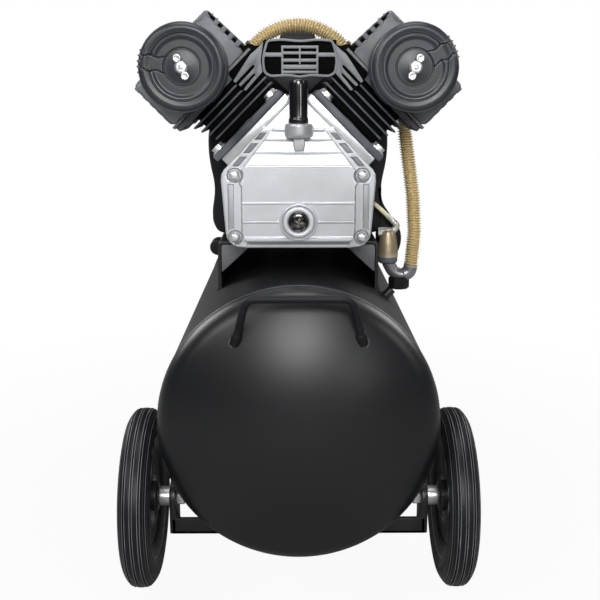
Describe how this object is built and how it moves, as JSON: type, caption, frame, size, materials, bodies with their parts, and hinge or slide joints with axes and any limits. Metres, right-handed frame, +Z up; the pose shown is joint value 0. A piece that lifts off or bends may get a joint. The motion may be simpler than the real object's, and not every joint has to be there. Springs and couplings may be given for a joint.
{
  "type": "air compressor",
  "caption": "Portable V-twin air compressor: horizontal tank on two wheels and rubber feet, with pump, motor, pressure switch, regulator, gauges and hose outlet on top.",
  "frame": {"origin": "on the floor, under the middle of the tank", "axes": "+Z up; +Y along the tank towards the rubber feet; the pump cover and the wheels are at -Y; +X to the right seen from the pump side"},
  "size_m": [0.382, 0.754, 0.634],
  "materials": {
    "tank_paint": "satin black powder coat",
    "tyre_rubber": "matte black rubber",
    "foot_rubber": "matte black rubber",
    "rim_plastic": "black moulded plastic",
    "zinc_steel": "bright zinc plate",
    "cast_aluminium": "bead-blasted die casting",
    "cast_iron_black": "black painted casting",
    "plate_steel": "ground steel",
    "piston_aluminium": "machined",
    "black_plastic": "black moulded plastic",
    "filter_foam": "open foam",
    "gold_pipe": "gold anodised, finned",
    "brass": "turned brass",
    "nylon_tube": "translucent nylon",
    "motor_paint": "black painted aluminium",
    "knob_plastic": "black moulded plastic",
    "red_plastic": "red moulded plastic",
    "gauge_case": "black gauge case",
    "needle_red": "red needle",
    "sight_glass": "clear oil sight glass"
  },
  "bodies": {
    "machine": {"air_guide": "black_plastic", "axle_hardware": "zinc_steel", "ball_bearings": "plate_steel", "capacitor_case": "black_plastic", "carry_handles": "tank_paint", "check_valve": "brass", "connecting_rods": "piston_aluminium", "cover_screws": "zinc_steel", "crankcase": "cast_aluminium", "crankcase_cover": "cast_aluminium", "crankshaft": "plate_steel", "crossover_pipe": "gold_pipe", "delivery_pipe": "gold_pipe", "drain_valve": "brass", "end_bells": "cast_aluminium", "fan_shroud": "black_plastic", "filter_bases": "black_plastic", "filter_caps": "black_plastic", "filter_elements": "filter_foam", "front_tank_head": "tank_paint", "gauge_cases": "gauge_case", "hex_bolts": "zinc_steel", "left_cylinder": "cast_iron_black", "left_head": "cast_iron_black", "manifold": "brass", "motor_cowl": "black_plastic", "motor_frame": "motor_paint", "motor_saddle": "tank_paint", "pipe_nuts": "zinc_steel", "pistons": "piston_aluminium", "pressure_switch": "black_plastic", "quick_coupler": "brass", "rear_foot_frame": "tank_paint", "rear_tank_head": "tank_paint", "right_cylinder": "cast_iron_black", "right_head": "cast_iron_black", "rubber_feet": "foot_rubber", "safety_valve": "brass", "sight_glass": "sight_glass", "stator": "plate_steel", "tank_shell": "tank_paint", "unloader_tube": "nylon_tube", "valve_plates": "plate_steel", "wheel_brackets": "tank_paint"},
    "rotor_set": {"rotor": "plate_steel", "cooling_fan": "black_plastic"},
    "left_wheel": {"left_rim": "rim_plastic", "left_tyre": "tyre_rubber"},
    "right_wheel": {"right_rim": "rim_plastic", "right_tyre": "tyre_rubber"},
    "left_filter_nut": {"left_wing_nut": "zinc_steel"},
    "right_filter_nut": {"right_wing_nut": "zinc_steel"},
    "breather": {"oil_breather": "black_plastic"},
    "drain_tap": {"drain_knob": "knob_plastic"},
    "start_knob": {"switch_knob": "red_plastic"},
    "pressure_knob": {"regulator_knob": "knob_plastic"},
    "tank_pointer": {"tank_needle": "needle_red"},
    "outlet_pointer": {"outlet_needle": "needle_red"},
    "hose_sleeve": {"coupler_sleeve": "zinc_steel"},
    "relief_ring": {"safety_ring": "zinc_steel"}
  },
  "joints": [
    {"name": "rotor_spin", "type": "hinge", "parent": "machine", "child": "rotor_set", "pos_m": [0, 0, 0.46], "axis": [0, 1, 0], "continuous": true},
    {"name": "left_wheel_spin", "type": "hinge", "parent": "machine", "child": "left_wheel", "pos_m": [-0.1745, -0.267, 0.1], "axis": [1, 0, 0], "continuous": true},
    {"name": "right_wheel_spin", "type": "hinge", "parent": "machine", "child": "right_wheel", "pos_m": [0.1745, -0.267, 0.1], "axis": [1, 0, 0], "continuous": true},
    {"name": "left_nut_turn", "type": "hinge", "parent": "machine", "child": "left_filter_nut", "pos_m": [-0.1168, -0.298, 0.573], "axis": [0, -1, 0], "range_deg": [0, 720]},
    {"name": "right_nut_turn", "type": "hinge", "parent": "machine", "child": "right_filter_nut", "pos_m": [0.1168, -0.298, 0.573], "axis": [0, -1, 0], "range_deg": [0, 720]},
    {"name": "breather_turn", "type": "hinge", "parent": "machine", "child": "breather", "pos_m": [0, -0.261, 0.53], "axis": [0, 0, 1], "range_deg": [0, 720]},
    {"name": "drain_turn", "type": "hinge", "parent": "machine", "child": "drain_tap", "pos_m": [0, 0.18, 0.025], "axis": [0, 0, 1], "range_deg": [0, 540]},
    {"name": "start_knob_pull", "type": "slide", "parent": "machine", "child": "start_knob", "axis": [0, 0, 1], "range_m": [0, 0.006]},
    {"name": "pressure_knob_turn", "type": "hinge", "parent": "machine", "child": "pressure_knob", "pos_m": [0.048, 0.215, 0.43], "axis": [0, 0, 1], "range_deg": [0, 1080]},
    {"name": "tank_needle_swing", "type": "hinge", "parent": "machine", "child": "tank_pointer", "pos_m": [0, 0.245, 0.4], "axis": [0, 1, 0], "range_deg": [0, 270]},
    {"name": "outlet_needle_swing", "type": "hinge", "parent": "machine", "child": "outlet_pointer", "pos_m": [0.048, 0.245, 0.4], "axis": [0, 1, 0], "range_deg": [0, 270]},
    {"name": "sleeve_slide", "type": "slide", "parent": "machine", "child": "hose_sleeve", "axis": [-1, 0, 0], "range_m": [0, 0.0035], "stiffness_N_per_m": 300},
    {"name": "relief_ring_pull", "type": "slide", "parent": "machine", "child": "relief_ring", "axis": [-1, 0, 0], "range_m": [0, 0.004], "stiffness_N_per_m": 300}
  ]
}
